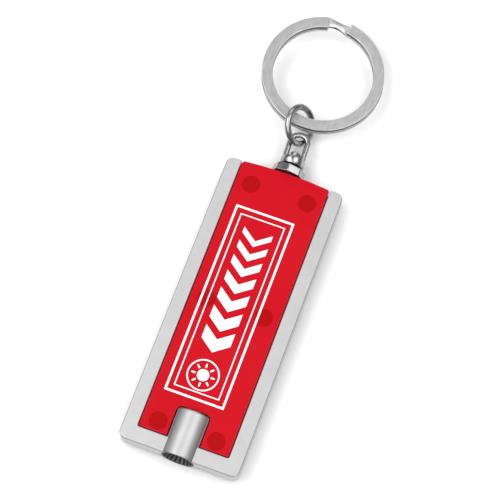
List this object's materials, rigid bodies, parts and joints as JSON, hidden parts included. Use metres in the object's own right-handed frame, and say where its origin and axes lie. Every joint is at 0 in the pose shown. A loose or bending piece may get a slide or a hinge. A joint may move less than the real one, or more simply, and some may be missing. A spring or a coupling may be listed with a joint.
{
  "type": "keychain flashlight",
  "caption": "Slim squeeze-to-light keychain flashlight: silver frame with lamp barrel, red translucent covers, coin cell inside, swivel bail, jump ring and split key ring.",
  "frame": {"origin": "centre of the back cover's flat face, halfway along the body", "axes": "+X across the body, +Y along it from the lamp mouth to the swivel and rings, +Z out of the front cover"},
  "size_m": [0.0262, 0.1007, 0.0086],
  "materials": {
    "silver_paint": "satin silver paint on moulded plastic",
    "red_plastic": "glossy translucent red",
    "white_card": "matt white card",
    "white_plastic": "moulded white plastic",
    "cell_steel": "nickel-plated stainless steel",
    "gasket_plastic": "moulded sealing plastic",
    "cathode_mix": "pressed black powder",
    "separator_felt": "white non-woven felt",
    "lithium_metal": "soft grey metal",
    "clear_epoxy": "water-clear epoxy",
    "tinned_steel": "tinned steel",
    "phosphor": "yellow phosphor coat",
    "phosphor_bronze": "bare spring bronze",
    "polished_steel": "polished nickel plate",
    "satin_steel": "satin nickel plate with fine scratches",
    "black_nylon": "black nylon"
  },
  "bodies": {
    "housing": {"frame": "silver_paint", "back_cover": "red_plastic", "back_liner": "white_card", "cell_holder": "white_plastic", "battery_can": "cell_steel", "battery_gasket": "gasket_plastic", "battery_cap": "cell_steel", "battery_cathode_pellet": "cathode_mix", "battery_separator": "separator_felt", "battery_lithium_disc": "lithium_metal", "led_lens": "clear_epoxy", "led_cathode_lead": "tinned_steel", "led_anode_lead": "tinned_steel", "led_chip": "phosphor", "contact_strip": "phosphor_bronze", "swivel_stud": "polished_steel", "swivel_collar": "polished_steel", "swivel_washer": "black_nylon"},
    "press_cover": {"front_cover": "red_plastic", "front_liner": "white_card"},
    "switch_leaf": {"contact_leaf": "phosphor_bronze"},
    "swivel": {"bail": "polished_steel"},
    "link": {"jump_ring": "polished_steel"},
    "key_ring": {"split_ring": "satin_steel"}
  },
  "joints": [
    {"name": "cover_press", "type": "slide", "parent": "housing", "child": "press_cover", "axis": [0, 0, -1], "range_m": [0, 0.0002], "stiffness_N_per_m": 5000},
    {"name": "leaf_flex", "type": "hinge", "parent": "housing", "child": "switch_leaf", "pos_m": [0, -0.02061, 0.00302], "axis": [1, 0, 0], "range_deg": [-1.3, 0]},
    {"name": "swivel_spin", "type": "hinge", "parent": "housing", "child": "swivel", "pos_m": [0, 0.03553, 0.0021], "axis": [0, 1, 0], "continuous": true},
    {"name": "link_swing", "type": "hinge", "parent": "swivel", "child": "link", "pos_m": [-0.00038, 0.04194, 0.0021], "axis": [0.788, 0, 0.6157], "range_deg": [-45, 40]},
    {"name": "ring_flip", "type": "hinge", "parent": "link", "child": "key_ring", "pos_m": [0, 0.04426, 0.00324], "axis": [1, 0, 0], "range_deg": [-75, 90]}
  ],
  "couplings": [
    {"joint": "leaf_flex", "follows": "cover_press", "rad_per_m": -103.5}
  ]
}
